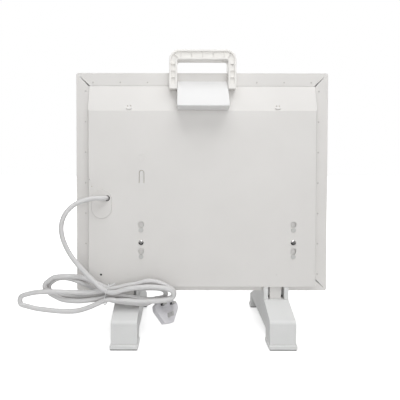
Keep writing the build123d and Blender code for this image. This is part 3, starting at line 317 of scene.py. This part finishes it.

# pieces whose finish differs a little from the rest of their slot
# rivets: a darker copy of the body enamel, painted shade that shows their domes, with a painted highlight round
# their edges
rivetShadingLook = {**powderCoatLook, "colour": (0.60, 0.585, 0.565), "patch": (0.57, 0.555, 0.535),
             "edge": (0.80, 0.79, 0.77)}
# hanger rails: a lighter copy of the body enamel without the painted hollow shade, painted light on the rails
# seen through the keyholes
railPaintedLightLook = {**powderCoatLook, "colour": (0.93, 0.915, 0.895), "patch": (0.91, 0.895, 0.875), "paintedShadeShare": 0.0}
# cord cover plate: a greyer copy of the handle plastic whose edges are painted dark, a painted shadow line
# round the plate
plateShadowEdgeLook = {**finishes["handle_plastic"][1], "colour": (0.775, 0.76, 0.74), "patch": (0.755, 0.74, 0.72),
             "edge": (0.30, 0.28, 0.27), "edgeRadius": 0.0009}
padLook = {**finishes["pad_rubber"][1], "colour": (0.30, 0.30, 0.30), "patch": (0.26, 0.26, 0.26)}
ownFinishes = {
    "rim_rivets": powderCoat("rivetShadingFinish", rivetShadingLook),
    "cord_cover_plate": mouldedPlastic("plateShadowEdgeFinish", plateShadowEdgeLook),
}
railPaintedLightFinish = powderCoat("railPaintedLightFinish", railPaintedLightLook)
padFinish = mouldedPlastic("padFinish", padLook)
for side in ("left", "right"):
    ownFinishes["hanger_rail_" + side] = railPaintedLightFinish
    ownFinishes["foot_pads_" + side] = padFinish

for part in frame["record"]["subparts"]:
    node = frame["nodes"][part["node"]]
    if not node.material_slots:
        node.data.materials.append(None)
    for holder in node.material_slots:
        holder.material = ownFinishes.get(part["node"], finishOf[part["material_slot"]])
print("stage: finishes made,", len(finishOf))


cordSettings = {
    "diameter": 0.011,
    "length": 2.44,
    "frontLayer": 0.062,      # depth of the hank's outermost layer behind the rim
    "layerStep": 0.0118,
    "outerLayer": 3,
    # X, height, depth behind the rim
    "lead": [
        (0.2234, 0.326, 0.004), (0.2234, 0.326, 0.03), (0.251, 0.329, 0.039), (0.285, 0.321, 0.0495),
        (0.31, 0.301, 0.057), (0.322, 0.27, 0.06), (0.318, 0.239, 0.06), (0.305, 0.21, 0.06),
        (0.2895, 0.187, 0.06), (0.2725, 0.1685, 0.06), (0.258, 0.1525, 0.06), (0.2436, 0.14, 0.062)],
    # the hank's three turns: X, height, the way that the cord heads in degrees (0 is +X, 90 is up), layer
    "turns": [
        [(0.205, 0.1172, 180, 3), (0.1699, 0.1253, 170, 3), (0.1199, 0.1302, 180, 3), (0.0825, 0.1264, 194, 3),
         (0.0663, 0.1134, 270, 3), (0.0825, 0.1006, 353, 3), (0.1426, 0.0968, 0, 3), (0.1858, 0.099, 356, 3),
         (0.2176, 0.1005, 346, 3), (0.2471, 0.0879, 336, 3), (0.2971, 0.0743, 358, 3), (0.3426, 0.0762, 7, 3),
         (0.388, 0.0833, 15, 3), (0.4138, 0.099, 90, 3), (0.3878, 0.1155, 168, 3), (0.3378, 0.1188, 180, 3),
         (0.2721, 0.1129, 181, 2), (0.2331, 0.1162, 173, 2)],
        [(0.2033, 0.122, 171, 2), (0.1643, 0.1307, 173, 2), (0.1184, 0.1395, 180, 2), (0.0828, 0.1281, 209, 2),
         (0.0654, 0.1117, 266, 2), (0.0817, 0.0985, 350, 2), (0.123, 0.0961, 4, 2), (0.1758, 0.1052, 8, 2),
         (0.2148, 0.1051, 352, 2), (0.2492, 0.0968, 354, 2), (0.2906, 0.0934, 2, 2), (0.3307, 0.101, 27, 2),
         (0.3502, 0.1125, 46, 2), (0.3611, 0.1282, 95, 2), (0.3489, 0.1425, 138, 2), (0.3179, 0.1505, 178, 2),
         (0.2652, 0.1397, 200, 1), (0.2397, 0.1281, 206, 1)],
        [(0.2003, 0.1151, 176, 1), (0.1632, 0.1189, 176, 1), (0.1261, 0.1199, 180, 1), (0.1006, 0.1191, 186, 1),
         (0.085, 0.1069, 270, 1), (0.1017, 0.0947, 352, 1), (0.1377, 0.094, 6, 1), (0.1864, 0.1021, 8, 1),
         (0.2235, 0.1029, 356, 1), (0.2653, 0.0991, 356, 1), (0.3024, 0.1004, 8, 1), (0.3372, 0.1055, 26, 1),
         (0.3559, 0.1214, 90, 1), (0.3405, 0.1389, 148, 1), (0.3162, 0.1427, 184, 1), (0.2884, 0.1355, 202, 1),
         (0.2558, 0.1153, 214, 0)],
    ],
    "hankEnd": (0.2324, 0.0993, 217, 0),
    "afterHank": 0.0125,       # straight runs at the tail's two ends
    "beforePlug": 0.014,
    "tail": [
        (0.2095, 0.0907, 0.038), (0.191, 0.091, 0.047), (0.1695, 0.0899, 0.0505), (0.149, 0.0864, 0.047),
        (0.1345, 0.082, 0.0385), (0.122, 0.0824, 0.0285)],
    "plugMiddle": (0.0842, 0.0608, 0.034),
    "plugWay": (-0.185, 0.45, -0.873),     # from the cord towards the earth pin
    "plugFace": (-0.48, 0.74, 0.48),       # the way that the pins point
    "plugLong": 0.049,
    "elbowRadius": 0.01,
    "elbowTurn": 80.0,
}


def atDepth(x, height, depth):
    return Vector((x, rimY + depth, height))


def layerDepth(settings, level):
    return settings["frontLayer"] - settings["layerStep"] * (settings["outerLayer"] - level)


def headingOf(degrees):
    turn = math.radians(degrees)
    return Vector((math.cos(turn), 0.0, math.sin(turn)))


def legHandles(start, startWay, end, endWay):
    # the two points between which a leg's pair of arcs meets at the middle
    across = (end - start).dot(startWay + endWay)
    square = 2 * (startWay.dot(endWay) - 1)
    span = (end - start).length_squared
    if abs(square) < 1e-9:
        reach = span / (2 * across) if abs(across) > 1e-9 else 0.0
    else:
        reach = (across - math.sqrt(across * across - square * span)) / square
    return [start + startWay * reach, end - endWay * reach]


def hankPoints(settings):
    first = atDepth(*settings["lead"][-1])
    way = (first - atDepth(*settings["lead"][-2])).normalized()
    last, lastWay = first + way * settings["diameter"], way
    points = [last]
    for x, height, degrees, level in sum(settings["turns"], []) + [settings["hankEnd"]]:
        spot = atDepth(x, height, layerDepth(settings, level))
        heading = headingOf(degrees)
        points += legHandles(last, lastWay, spot, heading)
        last, lastWay = spot, heading
    return points


plugWay = Vector(cordSettings["plugWay"]).normalized()
plugFace = Vector(cordSettings["plugFace"])
plugFace = (plugFace - plugWay * plugFace.dot(plugWay)).normalized()
plugSide = plugFace.cross(plugWay).normalized()
plugCentre = atDepth(*cordSettings["plugMiddle"])


def elbowPlace(settings, degrees):
    # a place along the strain relief's bend, and the way that it heads there
    start = plugCentre - plugWay * (settings["plugLong"] / 2)
    aside = (Vector((1, 0, 0)) - plugWay * plugWay.x).normalized()
    turn = math.radians(degrees)
    reach = settings["elbowRadius"]
    place = start - plugWay * reach * math.sin(turn) + aside * reach * (1 - math.cos(turn))
    return place, (aside * math.sin(turn) - plugWay * math.cos(turn)).normalized()


plugCordEnd, plugCordWay = elbowPlace(cordSettings, cordSettings["elbowTurn"])


def cordLine(settings):
    lead = [atDepth(*p) for p in settings["lead"]]
    x, height, degrees, level = settings["hankEnd"]
    tailStart = atDepth(x, height, layerDepth(settings, level))
    tail = [tailStart, tailStart + headingOf(degrees) * settings["afterHank"]]
    tail += [atDepth(*p) for p in settings["tail"]]
    tail += [plugCordEnd + plugCordWay * settings["beforePlug"], plugCordEnd]
    return lead + hankPoints(settings) + tail


def mainsCord(settings):
    points = cordLine(settings)
    curve = bpy.data.curves.new("mainsCord", "CURVE")
    curve.dimensions = "3D"
    curve.bevel_depth = settings["diameter"] / 2
    curve.bevel_resolution = 6
    curve.resolution_u = 8
    curve.use_fill_caps = True
    line = curve.splines.new("NURBS")
    line.points.add(len(points) - 1)
    for knot, point in zip(line.points, points):
        knot.co = (*point, 1.0)
    line.order_u = 3
    line.use_endpoint_u = True
    cord = bpy.data.objects.new("mainsCord", curve)
    bpy.context.scene.collection.objects.link(cord)
    curve.materials.append(finishOf["cord_sheath"])
    return cord


# X, height, depth behind the rim: a thin wire bound slantwise round the strands, its ends twisted together
tieSettings = {
    "wire": 0.0009,
    "loop": [
        (0.215, 0.129, 0.069), (0.219, 0.117, 0.0705), (0.2225, 0.101, 0.07), (0.2235, 0.088, 0.062),
        (0.223, 0.083, 0.042), (0.2225, 0.086, 0.021), (0.219, 0.1, 0.0195), (0.216, 0.118, 0.02),
        (0.214, 0.13, 0.038), (0.214, 0.1345, 0.057)],
    "twistStart": (0.215, 0.132, 0.069),
    "twistEnd": (0.1965, 0.14, 0.07),
    "twistTurns": 4,
    "twistWide": 0.001,
}


def tieWire(settings):
    curve = bpy.data.curves.new("tieWire", "CURVE")
    curve.dimensions = "3D"
    curve.bevel_depth = settings["wire"]
    curve.bevel_resolution = 3
    curve.use_fill_caps = True
    loop = curve.splines.new("NURBS")
    loop.points.add(len(settings["loop"]) - 1)
    for knot, point in zip(loop.points, settings["loop"]):
        knot.co = (*atDepth(*point), 1.0)
    loop.order_u = 3
    loop.use_cyclic_u = True
    start, end = atDepth(*settings["twistStart"]), atDepth(*settings["twistEnd"])
    along = (end - start).normalized()
    side = along.cross(Vector((0, 1, 0))).normalized()
    out = side.cross(along)
    count = settings["twistTurns"] * 8
    for phase in (0.0, math.pi):
        strand = curve.splines.new("POLY")
        strand.points.add(count)
        for i, knot in enumerate(strand.points):
            share = i / count
            turn = phase + share * settings["twistTurns"] * 2 * math.pi
            offset = (side * math.cos(turn) + out * math.sin(turn)) * settings["twistWide"]
            knot.co = (*(start.lerp(end, share) + offset), 1.0)
    tie = bpy.data.objects.new("tieWire", curve)
    bpy.context.scene.collection.objects.link(tie)
    curve.materials.append(finishOf["tie_plastic"])
    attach(tie, "heater")
    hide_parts("twist_tie")
    return tie


cord = mainsCord(cordSettings)
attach(cord, "heater")
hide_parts("cord_lead", "cord_hank", "cord_tail")
plugPieces = [frame["nodes"][n] for n in (
    "plug_body", "plug_pins", "plug_pin_sleeves", "plug_fuse_carrier", "plug_fuse", "plug_strain_relief")]
plugPieces.append(tieWire(tieSettings))
print("stage: cord laid")


# the floor gets whiter for the camera with its distance from the heater, from a soft shadow to pure white
floorSettings = {
    "half": 6.0,
    "colour": (0.80, 0.80, 0.80),
    "mottle": 0.97,            # the darker patches' share of the colour
    "nearWhite": 0.56,
    "farWhite": 1.0,
    "fade": (0.25, 0.75),
}


def studioFloor(settings):
    mesh = bpy.data.meshes.new("studioFloor")
    half = settings["half"]
    corners = [(-half, -half, 0), (half, -half, 0), (half, half, 0), (-half, half, 0)]
    mesh.from_pydata(corners, [], [(0, 1, 2, 3)])
    floor = bpy.data.objects.new("studioFloor", mesh)
    bpy.context.scene.collection.objects.link(floor)
    material, tree, shader, coords = startMaterial("paleFloor")
    mottle = addNoise(tree, coords, 3.0)
    shade = tuple(c * settings["mottle"] for c in settings["colour"])
    tree.links.new(blendColours(tree, mottle, settings["colour"], shade), shader.inputs["Base Color"])
    shader.inputs["Roughness"].default_value = 0.9
    away = tree.nodes.new("ShaderNodeVectorMath")
    away.operation = "LENGTH"
    tree.links.new(coords.outputs["Object"], away.inputs[0])
    whites = (settings["nearWhite"], settings["farWhite"])
    white = spreadValue(tree, away.outputs["Value"], *settings["fade"], *whites)
    path = tree.nodes.new("ShaderNodeLightPath")
    glow = tree.nodes.new("ShaderNodeMath")
    glow.operation = "MULTIPLY"
    tree.links.new(path.outputs["Is Camera Ray"], glow.inputs[0])
    tree.links.new(white, glow.inputs[1])
    shader.inputs["Emission Color"].default_value = (1, 1, 1, 1)
    tree.links.new(glow.outputs["Value"], shader.inputs["Emission Strength"])
    mesh.materials.append(material)


studioFloor(floorSettings)

lightSettings = {
    "worldStrength": 0.185,
    # name, place, aim, size, watts
    "lamps": [
        ("skyPanel", (-0.1, 0.8, 2.1), (0.0, 0.05, 0.40), 1.8, 28.0),
        ("rearFill", (-0.15, 2.8, 0.9), (0.0, 0.0, 0.35), 1.6, 21.5),
        ("frontFill", (0.0, -2.4, 1.8), (0.0, 0.0, 0.30), 2.0, 46.0)],
}


def studioLight(settings):
    world = bpy.data.worlds.new("paleRoom")
    world.use_nodes = True
    tree = world.node_tree
    background = tree.nodes["Background"]
    background.inputs["Color"].default_value = (1, 1, 1, 1)
    path = tree.nodes.new("ShaderNodeLightPath")
    seen = tree.nodes.new("ShaderNodeMath")
    seen.operation = "MAXIMUM"
    tree.links.new(path.outputs["Is Camera Ray"], seen.inputs[0])
    tree.links.new(path.outputs["Is Transmission Ray"], seen.inputs[1])
    strength = spreadValue(tree, seen.outputs["Value"], 0.0, 1.0, settings["worldStrength"], 1.0)
    tree.links.new(strength, background.inputs["Strength"])
    bpy.context.scene.world = world
    for name, place, aim, size, watts in settings["lamps"]:
        data = bpy.data.lights.new(name, "AREA")
        data.shape = "SQUARE"
        data.size = size
        data.energy = watts
        lamp = bpy.data.objects.new(name, data)
        lamp.location = place
        lamp.rotation_euler = (Vector(aim) - Vector(place)).to_track_quat("-Z", "Y").to_euler()
        bpy.context.scene.collection.objects.link(lamp)


studioLight(lightSettings)

cameraSettings = {
    "place": (0.0495, 1.0425, 0.4391),
    "pitchDown": 1.25,
    "roll": 0.11,
    "lens": 37.62,
    "shift": (0.0468, -0.1017),
}


def rearCamera(settings):
    data = bpy.data.cameras.new("rearCamera")
    data.lens = settings["lens"]
    data.sensor_width = 36.0
    data.shift_x, data.shift_y = settings["shift"]
    data.clip_start = 0.01
    camera = bpy.data.objects.new("rearCamera", data)
    about = Matrix.Rotation(math.pi, 4, "Z")
    pitch = Matrix.Rotation(math.radians(90 - settings["pitchDown"]), 4, "X")
    roll = Matrix.Rotation(math.radians(settings["roll"]), 4, "Z")
    camera.matrix_world = Matrix.Translation(settings["place"]) @ (about @ pitch @ roll)
    bpy.context.scene.collection.objects.link(camera)
    bpy.context.scene.camera = camera


rearCamera(cameraSettings)
bpy.context.scene.view_settings.view_transform = "Standard"
print("stage: floor, light and camera set")
